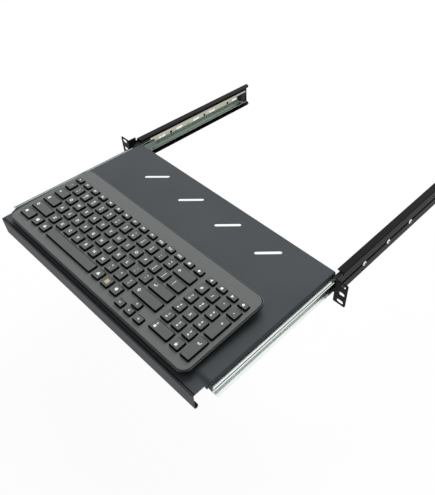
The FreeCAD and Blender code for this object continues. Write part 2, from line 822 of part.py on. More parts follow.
def key_box(block, row, first, width, rows):
    # Middle and size of one key at its foot.
    left = main_left if block == MAIN else pad_left
    middle = left + d.key_step * (first + width / 2)
    across = d.key_step * width - d.key_gap
    if row == FUNCTION_ROW:
        return middle, function_place, across, d.function_depth
    if row == ARROW_LOW:
        return middle, arrow_low_place, across, d.arrow_depth
    if row == ARROW_HIGH:
        return middle, arrow_high_place, across, d.arrow_depth
    place = row_place(row) + d.row_step * ((rows - 1) / 2)
    return middle, place, across, d.row_step * rows - d.key_gap


def make_keys():
    caps = {}
    wells = []
    for node, block, row, first, width, rows in KEYS:
        middle, place, across, depth = key_box(block, row, first, width, rows)
        cap = document.addObject("Part::Wedge", f"{node}_cap")
        cap.Placement = Placement(Vector(), Rotation(Vector(1, 0, 0), 90))
        bind(cap, Xmin=-across / 2, Xmax=across / 2, Zmin=-depth / 2, Zmax=depth / 2,
             X2min=d.key_taper - across / 2, X2max=across / 2 - d.key_taper,
             Z2min=d.key_taper - depth / 2, Z2max=depth / 2 - d.key_taper,
             Ymin=ZERO, Ymax=key_height, Placement__Base__x=middle,
             Placement__Base__y=place, Placement__Base__z=key_bottom)
        caps.setdefault(node, []).append(cap)
        well = document.addObject("Part::Box", f"{node}_well")
        play = d.key_well_play
        bind(well, Length=across + play * 2, Width=depth + play * 2, Height=d.slab_height,
             Placement__Base__x=middle - across / 2 - play,
             Placement__Base__y=place - depth / 2 - play, Placement__Base__z=d.slab_split)
        wells.append(well)
    groups = [lay_on_tray(group_solids(node, solids)) for node, solids in caps.items()]
    return groups, group_solids("key_wells", wells)


def top_face(feature):
    faces = feature.Shape.Faces
    highest = max(range(len(faces)), key=lambda number: faces[number].CenterOfMass.z)
    return f"Face{highest + 1}"


def slab_outline():
    return rounded_rectangle(keyboard_left, ZERO, keyboard_right, keyboard_depth, d.keyboard_corner)


def cavity_outline(play):
    wall = d.shell_wall + play
    return rounded_rectangle(keyboard_left + wall, wall, keyboard_right - wall,
                             keyboard_depth - wall, d.keyboard_corner - wall)


def make_top_shell(label, wells):
    body = new_body(f"{label}_blank")
    rim = new_sketch(body, "rim", "XY_Plane", d.slab_split)
    draw_outline(rim, slab_outline())
    slab = add_pad(body, rim, d.slab_height - d.slab_split)
    edge = body.newObject("PartDesign::Fillet", f"{label}_edge")
    edge.Base = (slab, [top_face(slab)])
    bind(edge, Radius=d.slab_round)
    document.recompute()
    cavity = new_sketch(body, "cavity", "XY_Plane", d.slab_split)
    draw_outline(cavity, cavity_outline(ZERO))
    add_pocket(body, cavity, d.slab_height - d.slab_split - d.deck_thickness, backwards=True)
    shell = document.addObject("Part::Cut", label)
    shell.Label = label
    shell.Base = body
    shell.Tool = wells
    return lay_on_tray(shell)


def make_bottom_shell(label):
    body = new_body(label)
    tub = new_sketch(body, "tub", "XY_Plane")
    draw_outline(tub, slab_outline())
    add_pad(body, tub, d.slab_split)
    front = battery_place - d.hump_depth / 2
    rear = battery_place + d.hump_depth / 2
    hump = new_sketch(body, "hump", "YZ_Plane", -d.hump_width / 2)
    draw_outline(hump, [
        (front - d.hump_slope, ZERO),
        (front, hump_floor(front)),
        (rear, hump_floor(rear)),
        (rear + d.hump_slope / 2, ZERO),
        (rear, d.shell_floor),
        (front, d.shell_floor),
    ])
    add_pad(body, hump, d.hump_width)
    cavity = new_sketch(body, "cavity", "XY_Plane", d.slab_split)
    draw_outline(cavity, cavity_outline(ZERO))
    add_pocket(body, cavity, d.slab_split - d.shell_floor)
    bay = new_sketch(body, "battery_bay", "XY_Plane", d.slab_split)
    draw_outline(bay, rectangle(-bay_half_width, battery_place - bay_half_depth,
                                bay_half_width, battery_place + bay_half_depth))
    add_pocket(body, bay, d.slab_split * 5)
    return lay_on_tray(body)


def make_inner_sheet(label, level, thickness):
    body = new_body(label)
    wall = d.shell_wall + d.sheet_play
    corner = d.keyboard_corner - wall
    panel = new_sketch(body, "panel", "XY_Plane", level)
    draw_outline(panel, rounded_rectangle(keyboard_left + wall, wall, keyboard_right - wall,
                                          sheet_rear, corner))
    add_pad(body, panel, thickness)
    return lay_on_tray(body)


def make_board(label):
    body = new_body(label)
    half_width = d.board_width / 2
    front = sheet_rear + d.sheet_play
    panel = new_sketch(body, "panel", "XY_Plane", d.shell_floor)
    draw_outline(panel, rectangle(d.board_place - half_width, front,
                                  d.board_place + half_width, front + d.board_depth))
    add_pad(body, panel, d.board_thickness)
    return lay_on_tray(body)


def make_battery_door(label):
    body = new_body(label)
    front = battery_place - bay_half_depth + d.door_play
    rear = battery_place + bay_half_depth - d.door_play
    half_width = bay_half_width - d.door_play
    plate = new_sketch(body, "plate", "YZ_Plane", -half_width)
    draw_outline(plate, [
        (front, hump_floor(front)),
        (rear, hump_floor(rear)),
        (rear, hump_floor(rear) + d.hump_wall),
        (front, hump_floor(front) + d.hump_wall),
    ])
    add_pad(body, plate, half_width * 2)
    return lay_on_tray(body)


def make_batteries(label):
    cells = []
    middle = hump_floor(battery_place) + d.hump_wall + d.battery_play / 2 + d.battery_diameter / 2
    for start in (-d.battery_length - d.battery_play / 2, d.battery_play / 2):
        cell = document.addObject("Part::Cylinder", f"{label}_cell")
        cell.Placement = Placement(Vector(), Rotation(Vector(0, 1, 0), 90))
        bind(cell, Radius=d.battery_diameter / 2, Height=d.battery_length,
             Placement__Base__x=start, Placement__Base__y=battery_place, Placement__Base__z=middle)
        cells.append(cell)
    return lay_on_tray(group_solids(label, cells))


# Rubber feet: wedges between the tilted underside and the level tray.
def make_feet(label):
    feet = []
    for row, front in (("front", d.front_foot), ("rear", battery_place - d.foot_depth / 2)):
        rear = front + d.foot_depth
        for side, middle in (("left", -d.foot_span / 2), ("right", d.foot_span / 2)):
            body = new_body(f"{label}_{row}_{side}")
            wedge = new_sketch(body, "wedge", "YZ_Plane", middle - d.foot_width / 2)
            seats = (ZERO, ZERO) if row == "front" else (hump_floor(front), hump_floor(rear))
            draw_outline(wedge, [
                (front, tray_below(front)),
                (rear, tray_below(rear)),
                (rear, seats[1]),
                (front, seats[0]),
            ])
            add_pad(body, wedge, d.foot_width)
            feet.append(body)
    return lay_on_tray(group_solids(label, feet))


right_bracket = make_bracket("right_bracket")
right_outer_rail = make_outer_rail("right_outer_rail")
right_bumper = make_bumper("right_rail_bumper")
right_cage = make_cage("right_ball_cage")
right_balls = make_balls("right_balls")
right_inner_rail = make_inner_rail("right_inner_rail")
tray = make_tray("tray_shelf")

rail_screws = make_screws("rail_screws", web_outside, d.bracket_sheet + d.rail_sheet, True,
                          [rail_hole_place(number) for number in RAIL_SCREWS])
tray_screws = make_screws("tray_screws", half_tray - d.tray_sheet, d.tray_sheet + d.rail_sheet, False,
                          [tray_screw_place(number) for number in TRAY_SCREWS])

key_groups, key_wells = make_keys()
top_shell = make_top_shell("keyboard_top_shell", key_wells)
bottom_shell = make_bottom_shell("keyboard_bottom_shell")
membrane = make_inner_sheet("contact_membrane", d.shell_floor, d.membrane_thickness)
dome_sheet = make_inner_sheet("dome_sheet", dome_level, d.dome_thickness)
board = make_board("circuit_board")
battery_door = make_battery_door("battery_door")
batteries = make_batteries("batteries")
feet = make_feet("keyboard_feet")

sub_parts = [
    right_bracket, mirror_across(right_bracket, "left_bracket"),
    right_outer_rail, mirror_across(right_outer_rail, "left_outer_rail"),
    right_bumper, mirror_across(right_bumper, "left_rail_bumper"),
    right_cage, mirror_across(right_cage, "left_ball_cage"),
    right_balls, mirror_across(right_balls, "left_balls"),
    right_inner_rail, mirror_across(right_inner_rail, "left_inner_rail"),
    rail_screws, tray, tray_screws,
    top_shell, bottom_shell, membrane, dome_sheet, board, battery_door, batteries, feet,
] + key_groups

document.recompute()
for item in document.Objects:
    if "Invalid" in item.State or "Error" in item.State:
        raise RuntimeError(f"{item.Label} failed: {item.State}")
for sub_part in sub_parts:
    if sub_part.Shape.isNull() or not sub_part.Shape.isValid():
        raise RuntimeError(f"{sub_part.Label} has no valid shape")

os.makedirs("parts", exist_ok=True)
for sub_part in sub_parts:
    sub_part.Shape.exportStep(f"parts/{sub_part.Label}.step")
print(len(sub_parts), "sub-parts written")
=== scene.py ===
import json
import math

import bmesh
import bpy
from mathutils import Matrix, Vector


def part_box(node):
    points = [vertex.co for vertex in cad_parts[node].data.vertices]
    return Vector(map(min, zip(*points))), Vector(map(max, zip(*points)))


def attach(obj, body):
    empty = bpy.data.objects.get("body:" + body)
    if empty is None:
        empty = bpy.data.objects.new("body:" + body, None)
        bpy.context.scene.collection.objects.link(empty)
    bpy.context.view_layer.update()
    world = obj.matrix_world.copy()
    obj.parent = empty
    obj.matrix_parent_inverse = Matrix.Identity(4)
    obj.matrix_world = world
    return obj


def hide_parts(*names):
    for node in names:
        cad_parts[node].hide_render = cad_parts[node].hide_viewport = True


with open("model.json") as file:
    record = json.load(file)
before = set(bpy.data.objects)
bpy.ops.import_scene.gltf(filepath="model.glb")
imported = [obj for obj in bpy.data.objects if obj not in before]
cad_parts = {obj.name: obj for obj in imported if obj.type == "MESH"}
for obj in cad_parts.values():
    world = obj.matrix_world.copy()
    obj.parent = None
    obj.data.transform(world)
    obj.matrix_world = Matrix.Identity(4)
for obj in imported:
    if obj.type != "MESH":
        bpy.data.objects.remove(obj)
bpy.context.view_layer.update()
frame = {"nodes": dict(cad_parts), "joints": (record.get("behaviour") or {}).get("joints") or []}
scene = bpy.context.scene
scene.view_settings.view_transform = "Standard"
mm = 0.001
tiny = 0.01 * mm       # slack in tests on places
hair = 0.001 * mm      # the same on small pieces
slack = 0.05 * mm      # room round faces that get a tint
snug = 0.02 * mm       # the same where faces lie close together
past = 1 * mm          # how far a cutter stands out of its piece
cutDeep = 10 * mm      # length of the cutters for holes and slots
squarely = 0.9         # a normal counts as along an axis from here
print("frame loaded:", len(frame["nodes"]), "nodes")


# ways of working that every piece uses
def near(a, b, room=tiny):
    return abs(a - b) < room


def startFresh():
    if bpy.context.mode != "OBJECT":
        bpy.ops.object.mode_set(mode="OBJECT")
    bpy.ops.object.select_all(action="DESELECT")


def pick(piece):
    startFresh()
    piece.select_set(True)
    bpy.context.view_layer.objects.active = piece


def edit(piece, action):
    pick(piece)
    bpy.ops.object.mode_set(mode="EDIT")
    bpy.ops.mesh.select_all(action=action)


def applyPlace(piece):
    pick(piece)
    bpy.ops.object.transform_apply(location=True, rotation=True, scale=True)


def putAt(piece, place, turn=(0, 0, 0)):
    piece.rotation_euler = turn
    piece.location = place
    applyPlace(piece)


def addBlock(name, low, high):
    startFresh()
    bpy.ops.mesh.primitive_cube_add(size=1, location=(Vector(low) + Vector(high)) / 2)
    block = bpy.context.object
    block.name = name
    block.scale = Vector(high) - Vector(low)
    applyPlace(block)
    return block


def addPlate(name, low, high):
    # a flat rectangle between two corners, upright where both have the same x
    startFresh()
    size = Vector(high) - Vector(low)
    upright = near(size.x, 0, hair)
    bpy.ops.mesh.primitive_plane_add(size=1, rotation=(0, math.pi / 2 if upright else 0, 0))
    plate = bpy.context.object
    plate.name = name
    bpy.ops.object.transform_apply(rotation=True)
    plate.scale = (1, size.y, size.z) if upright else (size.x, size.y, 1)
    plate.location = (Vector(low) + Vector(high)) / 2
    applyPlace(plate)
    return plate


def addRod(name, middle, radius, length, axis, sides):
    turn = {"x": (0, math.pi / 2, 0), "z": (0, 0, 0)}[axis]
    startFresh()
    bpy.ops.mesh.primitive_cylinder_add(vertices=sides, radius=radius, depth=length, location=middle,
                                        rotation=turn)
    rod = bpy.context.object
    rod.name = name
    applyPlace(rod)
    return rod


def stretch(piece, across, along):
    # both halves move apart, so rounded corners keep their radius
    for vertex in piece.data.vertices:
        vertex.co.x += math.copysign(across / 2, vertex.co.x)
        vertex.co.y += math.copysign(along / 2, vertex.co.y)


def holeCutter(x, y, radius, length=cutDeep):
    return addRod("hole", (x, y, 0), radius, length, "x", sides=24)


def slotCutter(length, width, place, turn):
    cutter = addRod("slotCutter", (0, 0, 0), width / 2, cutDeep, "z", sides=40)
    stretch(cutter, length - width, 0)
    putAt(cutter, place, turn)
    return cutter


def selectEdges(piece, test):
    edit(piece, "DESELECT")
    bpy.ops.mesh.select_mode(type="EDGE")
    mesh = bmesh.from_edit_mesh(piece.data)
    for edge in mesh.edges:
        edge.select_set(test(edge.verts[0].co, edge.verts[1].co))
    bmesh.update_edit_mesh(piece.data)


def selectFaces(piece, test):
    edit(piece, "DESELECT")
    bpy.ops.mesh.select_mode(type="FACE")
    mesh = bmesh.from_edit_mesh(piece.data)
    for face in mesh.faces:
        face.select_set(test(face.calc_center_median(), face.normal))
    bmesh.update_edit_mesh(piece.data)


def pull(x, y, z):
    bpy.ops.mesh.extrude_region_move(TRANSFORM_OT_translate={"value": (x, y, z)})


def cutAcross(piece, point, normal):
    edit(piece, "SELECT")
    bpy.ops.mesh.bisect(plane_co=point, plane_no=normal)
    startFresh()


def roundEdges(offset, steps):
    bpy.ops.mesh.bevel(offset=offset, offset_type="OFFSET", segments=steps, profile=0.5)
    startFresh()


def faceOutwards(piece):
    edit(piece, "SELECT")
    bpy.ops.mesh.remove_doubles(threshold=hair)
    bpy.ops.mesh.normals_make_consistent(inside=False)
    startFresh()


def useModifier(piece, kind, **settings):
    pick(piece)
    modifier = piece.modifiers.new(kind.lower(), kind)
    for name, value in settings.items():
        setattr(modifier, name, value)
    bpy.ops.object.modifier_apply(modifier=modifier.name)


def thicken(piece, thickness, side):
    # side is a direction that some face of the open sheet looks in, the wall grows away from it
    faceOutwards(piece)
    facing = max(piece.data.polygons, key=lambda face: abs(face.normal.dot(Vector(side))) * face.area)
    if facing.normal.dot(Vector(side)) < 0:
        piece.data.flip_normals()
    useModifier(piece, "SOLIDIFY", thickness=thickness, offset=-1, use_even_offset=True)


def joinAll(name, pieces):
    startFresh()
    for piece in pieces:
        piece.select_set(True)
    bpy.context.view_layer.objects.active = pieces[0]
    if len(pieces) > 1:
        bpy.ops.object.join()
    whole = bpy.context.view_layer.objects.active
    whole.name = name
    return whole


def cutOut(piece, cutters):
    tool = joinAll("cutter", cutters)
    useModifier(piece, "BOOLEAN", operation="DIFFERENCE", object=tool, solver="EXACT")
    bpy.data.objects.remove(tool)


def breakEdges(piece, width, steps=2):
    useModifier(piece, "BEVEL", width=width, segments=steps, limit_method="ANGLE",
                angle_limit=math.radians(40), use_clamp_overlap=True)


def smooth(piece, angle=35):
    pick(piece)
    bpy.ops.object.shade_smooth_by_angle(angle=math.radians(angle))
    useModifier(piece, "WEIGHTED_NORMAL", keep_sharp=True)


def copyOf(piece, name):
    twin = piece.copy()
    twin.data = piece.data.copy()
    twin.name = name
    scene.collection.objects.link(twin)
    return twin


def mirrored(piece, name):
    twin = copyOf(piece, name)
    twin.scale.x = -1
    applyPlace(twin)
    faceOutwards(twin)
    smooth(twin)
    return twin


def carry(piece, body, nodes, finishes=()):
    # a piece that has its finishes already keeps them
    if finishes:
        piece.data.materials.clear()
    for finish in finishes:
        piece.data.materials.append(finish)
    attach(piece, body)
    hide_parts(*nodes)


def makePair(make, twinName, node, bodies, finishes, twinFinishes=()):
    # the right piece and its mirror image on the left
    piece = make()
    twin = mirrored(piece, twinName)
    carry(piece, bodies[0], ["right_" + node], finishes)
    carry(twin, bodies[1], ["left_" + node], twinFinishes or finishes)
    return piece, twin


def tint(piece, number, test):
    for face in piece.data.polygons:
        if test(face.center, face.normal):
            face.material_index = number


# finishes
noiseLow, noiseHigh = 0.3, 0.7    # most of a noise texture's values lie between these


def newFinish(name, roughness, metallic=0.0, gleam=0.5):
    finish = bpy.data.materials.new(name)
    finish.use_nodes = True
    nodes = finish.node_tree.nodes
    shader = nodes["Principled BSDF"]
    shader.inputs["Roughness"].default_value = roughness
    shader.inputs["Metallic"].default_value = metallic
    shader.inputs["Specular IOR Level"].default_value = gleam
    place = nodes.new("ShaderNodeTexCoord")
    return finish, shader, place.outputs["Object"]


def addNoise(finish, place, scale, detail, stretched=None):
    tree = finish.node_tree
    noise = tree.nodes.new("ShaderNodeTexNoise")
    noise.inputs["Scale"].default_value = scale
    noise.inputs["Detail"].default_value = detail
    if stretched:
        mapping = tree.nodes.new("ShaderNodeMapping")
        mapping.inputs["Scale"].default_value = stretched
        tree.links.new(place, mapping.inputs["Vector"])
        place = mapping.outputs["Vector"]
    tree.links.new(place, noise.inputs["Vector"])
    return noise.outputs["Fac"]


def addTint(finish, shader, value, dark, light):
    tree = finish.node_tree
    ramp = tree.nodes.new("ShaderNodeValToRGB")
    ramp.color_ramp.elements[0].position = noiseLow
    ramp.color_ramp.elements[1].position = noiseHigh
    ramp.color_ramp.elements[0].color = (*dark, 1)
    ramp.color_ramp.elements[1].color = (*light, 1)
    tree.links.new(value, ramp.inputs["Fac"])
    tree.links.new(ramp.outputs["Color"], shader.inputs["Base Color"])


def addRoughness(finish, shader, value, low, high):
    tree = finish.node_tree
    spread = tree.nodes.new("ShaderNodeMapRange")
    spread.inputs["From Min"].default_value = noiseLow
    spread.inputs["From Max"].default_value = noiseHigh
    spread.inputs["To Min"].default_value = low
    spread.inputs["To Max"].default_value = high
    tree.links.new(value, spread.inputs["Value"])
    tree.links.new(spread.outputs["Result"], shader.inputs["Roughness"])


def addGrain(finish, shader, value, strength, height):
    tree = finish.node_tree
    bump = tree.nodes.new("ShaderNodeBump")
    bump.inputs["Strength"].default_value = strength
    bump.inputs["Distance"].default_value = height
    tree.links.new(value, bump.inputs["Height"])
    tree.links.new(bump.outputs["Normal"], shader.inputs["Normal"])


def shade(colour, factor):
    return tuple(part * factor for part in colour)


def powderCoat(name, colour, roughness, gleam):
    finish, shader, place = newFinish(name, roughness, gleam=gleam)
    clouds = addNoise(finish, place, scale=9, detail=2)
    addTint(finish, shader, clouds, dark=shade(colour, 0.93), light=shade(colour, 1.07))
    pebbles = addNoise(finish, place, scale=1500, detail=2)
    addRoughness(finish, shader, pebbles, low=roughness - 0.07, high=roughness + 0.07)
    addGrain(finish, shader, pebbles, strength=0.12, height=0.2 * mm)
    return finish


def grainedPlastic(name, colour, roughness, gleam=0.4):
    finish, shader, place = newFinish(name, roughness, gleam=gleam)
    grain = addNoise(finish, place, scale=2200, detail=3)
    addTint(finish, shader, grain, dark=shade(colour, 0.86), light=shade(colour, 1.14))
    addGrain(finish, shader, grain, strength=0.15, height=0.15 * mm)
    return finish


def zincPlate(name, dark, light, roughness):
    finish, shader, place = newFinish(name, roughness, metallic=1.0)
    streaks = addNoise(finish, place, scale=1, detail=4, stretched=(260, 9, 260))
    addTint(finish, shader, streaks, dark, light)
    scratches = addNoise(finish, place, scale=1, detail=2, stretched=(2400, 40, 2400))
    addRoughness(finish, shader, scratches, low=roughness - 0.08, high=roughness + 0.12)
    addGrain(finish, shader, scratches, strength=0.06, height=0.1 * mm)
    return finish


def softRubber(name, colour):
    finish, shader, place = newFinish(name, roughness=0.75)
    mottle = addNoise(finish, place, scale=700, detail=4)
    addTint(finish, shader, mottle, dark=shade(colour, 0.8), light=shade(colour, 1.25))
    addGrain(finish, shader, mottle, strength=0.1, height=0.2 * mm)
    return finish


def printInk(name, colour):
    finish, shader, place = newFinish(name, roughness=0.5)
    speckle = addNoise(finish, place, scale=3000, detail=2)
    addTint(finish, shader, speckle, dark=shade(colour, 0.92), light=colour)
    return finish


bracketBlack = powderCoat("bracketBlack", (0.011, 0.0115, 0.0115), roughness=0.48, gleam=0.09)
# painted shade: near-black for the inside of grooves and creases
grooveShadeBlack = powderCoat("grooveShadeBlack", (0.002, 0.002, 0.002), roughness=0.8, gleam=0.05)
trayGrey = powderCoat("trayGrey", (0.059, 0.066, 0.072), roughness=0.52, gleam=0.18)
deckGrey = grainedPlastic("deckGrey", (0.14, 0.148, 0.146), roughness=0.55, gleam=0.25)
keyGrey = grainedPlastic("keyGrey", (0.113, 0.118, 0.118), roughness=0.52, gleam=0.25)
# painted shade: near-black for the sides of the key caps
keySideShade = grainedPlastic("keySideShade", (0.003, 0.003, 0.003), roughness=0.6, gleam=0.1)
# painted shade: near-black for the keyboard's sides, openings and rear edge
deckShadeBlack = grainedPlastic("deckShadeBlack", (0.008, 0.0085, 0.009), roughness=0.5, gleam=0.2)
# dark plastic of the bottom shell, darkened further as painted shade for the gap under the keyboard
baseShadeBlack = grainedPlastic("baseShadeBlack", (0.008, 0.0085, 0.009), roughness=0.5, gleam=0.2)
legendWhite = printInk("legendWhite", (0.96, 0.97, 0.95))
patchGold = printInk("patchGold", (0.52, 0.44, 0.25))
# yellow zinc of the left outer rail, darker than the right rail's as painted shade
railZincShaded = zincPlate("railZincShaded", (0.34, 0.345, 0.275), (0.58, 0.585, 0.48), roughness=0.26)
railShade = zincPlate("railShade", (0.33, 0.4, 0.36), (0.52, 0.59, 0.54), roughness=0.3)
# painted shade: near-black green zinc for lines, recesses and shaded parts of the slides
railShadeDeep = zincPlate("railShadeDeep", (0.02, 0.035, 0.025), (0.05, 0.07, 0.05), roughness=0.5)
# painted shade for the left inner rail's tail
railTailShade = zincPlate("railTailShade", (0.12, 0.155, 0.135), (0.2, 0.24, 0.215), roughness=0.4)
# painted highlight: near-white zinc for the floors of the blind slots
railSlotGlint = zincPlate("railSlotGlint", (0.86, 0.87, 0.86), (0.97, 0.97, 0.96), roughness=0.2)
slideZinc = zincPlate("slideZinc", (0.72, 0.78, 0.75), (0.96, 0.98, 0.97), roughness=0.2)
screwZinc = zincPlate("screwZinc", (0.84, 0.85, 0.84), (0.97, 0.97, 0.96), roughness=0.2)
cageSteel = zincPlate("cageSteel", (0.45, 0.46, 0.46), (0.66, 0.66, 0.65), roughness=0.35)
ballSteel = zincPlate("ballSteel", (0.72, 0.73, 0.74), (0.84, 0.84, 0.85), roughness=0.12)
bumperBlack = softRubber("bumperBlack", (0.012, 0.012, 0.012))
footRubber = softRubber("footRubber", (0.03, 0.03, 0.03))
domeRubber = softRubber("domeRubber", (0.3, 0.3, 0.29))
membraneFilm = grainedPlastic("membraneFilm", (0.35, 0.36, 0.34), roughness=0.3)
boardGreen = grainedPlastic("boardGreen", (0.02, 0.12, 0.05), roughness=0.35)
cellSleeve = grainedPlastic("cellSleeve", (0.2, 0.2, 0.21), roughness=0.3)
print("finishes ready")

# the shelf: pan, side flanges, front strip, lip and rolled hem from one bent sheet
shelf = {"sheet": 1.2 * mm, "bend": 2.2 * mm, "lipWidth": 412 * mm, "strip": 17 * mm, "stripDrop": 3.5 * mm,
         "slopeFoot": 2.5 * mm, "slopeLength": 6 * mm, "crease": 1.2 * mm, "creaseDeep": 0.8 * mm,
         "flangeDrop": 26 * mm, "slant": 9 * mm, "hem": 2.7 * mm, "hemReturn": 3 * mm, "edge": 0.25 * mm,
         "slotLength": 39 * mm, "slotWidth": 6 * mm, "slotStep": 80 * mm, "slotSetback": 36.4 * mm,
         "slotTurn": math.radians(45), "screwHole": 2.2 * mm, "screwFirst": 34 * mm, "screwStep": 84 * mm,
         "cutterSpan": 500 * mm}
shelfLow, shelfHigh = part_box("tray_shelf")
innerLow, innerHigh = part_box("right_inner_rail")
shelfScrewPlaces = [innerLow.y + shelf["screwFirst"] + shelf["screwStep"] * number for number in range(3)]


def makeShelf():
    top, panFront = shelfHigh.z, shelfLow.y + shelf["strip"]
    slopeFoot = panFront + shelf["slopeFoot"]
    slopeTop = slopeFoot + shelf["slopeLength"]
    stripLevel = top - shelf["stripDrop"]
    hemLevel = shelfLow.z + shelf["hem"]

    def atSide(a, b):
        return near(abs(a.x), shelfHigh.x) and near(a.x, b.x)

    def isBend(a, b):
        atLip = max(a.y, b.y) < shelfLow.y + tiny
        atSlope = near(a.y, b.y) and slopeFoot - tiny < a.y < slopeTop + tiny
        return min(a.z, b.z) > stripLevel - tiny and (atSide(a, b) or atLip or atSlope)

    piece = addPlate("shelf", (shelfLow.x, panFront, top), (shelfHigh.x, shelfHigh.y, top))
    for side in (-1, 1):
        cutAcross(piece, (side * shelf["lipWidth"] / 2, 0, 0), (1, 0, 0))
    for place in (slopeFoot, slopeTop):
        cutAcross(piece, (0, place, 0), (0, 1, 0))
    selectEdges(piece, atSide)
    pull(0, 0, -shelf["flangeDrop"])
    selectEdges(piece, lambda a, b: max(a.y, b.y) < slopeFoot + tiny and min(a.z, b.z) > top - tiny)
    bpy.ops.transform.translate(value=(0, 0, -shelf["stripDrop"]))
    selectEdges(piece, lambda a, b: near(a.y, panFront) and near(b.y, panFront) and near(a.x, -b.x)
                and min(a.z, b.z) > stripLevel - tiny)
    pull(0, -shelf["strip"], 0)
    pull(0, 0, hemLevel - stripLevel)
    bpy.ops.mesh.spin(steps=8, angle=-math.pi, center=(0, shelfLow.y + shelf["hem"], hemLevel), axis=(1, 0, 0))
    pull(0, 0, shelf["hemReturn"])
    selectEdges(piece, isBend)
    roundEdges(shelf["bend"], steps=5)
    # slanted front ends of the side flanges
    selectFaces(piece, lambda middle, normal: near(abs(middle.x), shelfHigh.x))
    low, level = top - shelf["flangeDrop"], top - shelf["bend"]
    bpy.ops.mesh.bisect(plane_co=(0, panFront, level), plane_no=(0, level - low, shelf["slant"]),
                        clear_inner=True)
    startFresh()
    thicken(piece, shelf["sheet"], (0, 0, 1))
    slotRow = shelfHigh.y - shelf["slotSetback"]
    cutters = [slotCutter(shelf["slotLength"], shelf["slotWidth"], (shelf["slotStep"] * number, slotRow, top),
                          (0, 0, shelf["slotTurn"])) for number in (-1.5, -0.5, 0.5, 1.5)]
    cutters += [holeCutter(0, place, shelf["screwHole"], shelf["cutterSpan"]) for place in shelfScrewPlaces]
    # fold line behind the bend of the lip
    foldFront, foldFloor = shelfLow.y + shelf["bend"], stripLevel - shelf["creaseDeep"]
    foldRear = foldFront + shelf["crease"]
    cutters.append(addBlock("crease", (-shelf["cutterSpan"] / 2, foldFront, foldFloor),
                            (shelf["cutterSpan"] / 2, foldRear, stripLevel + past)))
    cutOut(piece, cutters)
    breakEdges(piece, shelf["edge"])
    smooth(piece)
    carry(piece, "tray", ["tray_shelf"], [trayGrey, grooveShadeBlack])
    # painted shade: the faces inside the fold line get near-black
    tint(piece, 1, lambda middle, normal: foldFront - slack < middle.y < foldRear + slack
         and foldFloor - slack < middle.z < stripLevel - slack * 2)


makeShelf()
print("shelf bent")

# side brackets: web, two flanges, rack ear with three slots
bracket = {"sheet": 1.5 * mm, "block": 13 * mm, "relief": 3 * mm, "reliefDepth": 4 * mm, "bend": 2 * mm,
           "innerBend": 0.5 * mm, "earCorner": 2.5 * mm, "rearCorner": 8 * mm, "edge": 0.25 * mm,
           "slotLength": 11 * mm, "slotWidth": 7 * mm, "slotStep": 15.875 * mm, "slotSpan": 465.1 * mm,
           "screwHole": 2.2 * mm, "screwFirst": 66 * mm, "screwStep": 60 * mm, "groove": 5.5 * mm,
           "grooveDeep": 0.8 * mm, "grooveFront": 5 * mm, "grooveTint": 0.5 * mm, "railRoom": 4.5 * mm}
bracketLow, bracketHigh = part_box("right_bracket")
outerLow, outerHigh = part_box("right_outer_rail")
railScrewPlaces = [bracket["screwFirst"] + bracket["screwStep"] * number for number in range(3)]


def makeBracket():
    webInside, webOutside = outerHigh.x, outerHigh.x + bracket["sheet"]
    flangeLevel = outerHigh.z + bracket["railRoom"]    # inner face of the flanges
    reliefLevel = flangeLevel + bracket["sheet"] - bracket["reliefDepth"]
    flangeStart = bracket["block"] + bracket["relief"]
    grooveHalf = bracket["groove"] / 2

    def atFront(a, b):
        return near(a.y, bracketLow.y) and near(b.y, bracketLow.y)

    def atFlange(a, b):
        return min(a.y, b.y) > flangeStart - tiny and near(abs(a.z), flangeLevel) and near(a.z, b.z)

    def onWeb(a, b):
        return near(a.x, webInside) and near(b.x, webInside)

    piece = addPlate("bracketRight", (webInside, bracketLow.y, bracketLow.z),
                     (webInside, bracketHigh.y, bracketHigh.z))
    for level in (reliefLevel, flangeLevel):
        for side in (-1, 1):
            cutAcross(piece, (webInside, 0, side * level), (0, 0, 1))
    for place in (bracket["block"], flangeStart):
        cutAcross(piece, (webInside, place, 0), (0, 1, 0))
    selectFaces(piece, lambda middle, normal: (middle.y > flangeStart and abs(middle.z) > flangeLevel)
                or (bracket["block"] < middle.y < flangeStart and abs(middle.z) > reliefLevel))
    bpy.ops.mesh.delete(type="FACE")
    selectEdges(piece, atFlange)
    pull(bracketLow.x - webInside, 0, 0)
    selectEdges(piece, atFront)
    pull(bracketHigh.x - webInside, 0, 0)
    selectEdges(piece, lambda a, b: onWeb(a, b) and atFront(a, b))
    roundEdges(bracket["bend"], steps=5)
    selectEdges(piece, lambda a, b: onWeb(a, b) and atFlange(a, b))
    roundEdges(bracket["innerBend"], steps=3)
    thicken(piece, bracket["sheet"], (-1, 0, 0))
    selectEdges(piece, lambda a, b: min(a.x, b.x) > bracketHigh.x - tiny and near(a.z, b.z)
                and near(abs(a.z), bracketHigh.z))
    roundEdges(bracket["earCorner"], steps=5)
    selectEdges(piece, lambda a, b: min(a.y, b.y) > bracketHigh.y - tiny
                and max(a.x, b.x) < bracketLow.x + tiny and not near(a.z, b.z))
    roundEdges(bracket["rearCorner"], steps=6)
    cutters = [slotCutter(bracket["slotLength"], bracket["slotWidth"],
                          (bracket["slotSpan"] / 2, bracketLow.y, bracket["slotStep"] * number),
                          (math.pi / 2, 0, 0)) for number in (-1, 0, 1)]
    cutters += [holeCutter(webInside, place, bracket["screwHole"]) for place in railScrewPlaces]
    cutOut(piece, cutters)
    cutOut(piece, [addBlock("groove", (webOutside - bracket["grooveDeep"], bracket["grooveFront"], -grooveHalf),
                            (webOutside + past, bracketHigh.y + past, grooveHalf))])
    breakEdges(piece, bracket["edge"])
    smooth(piece)
    return piece


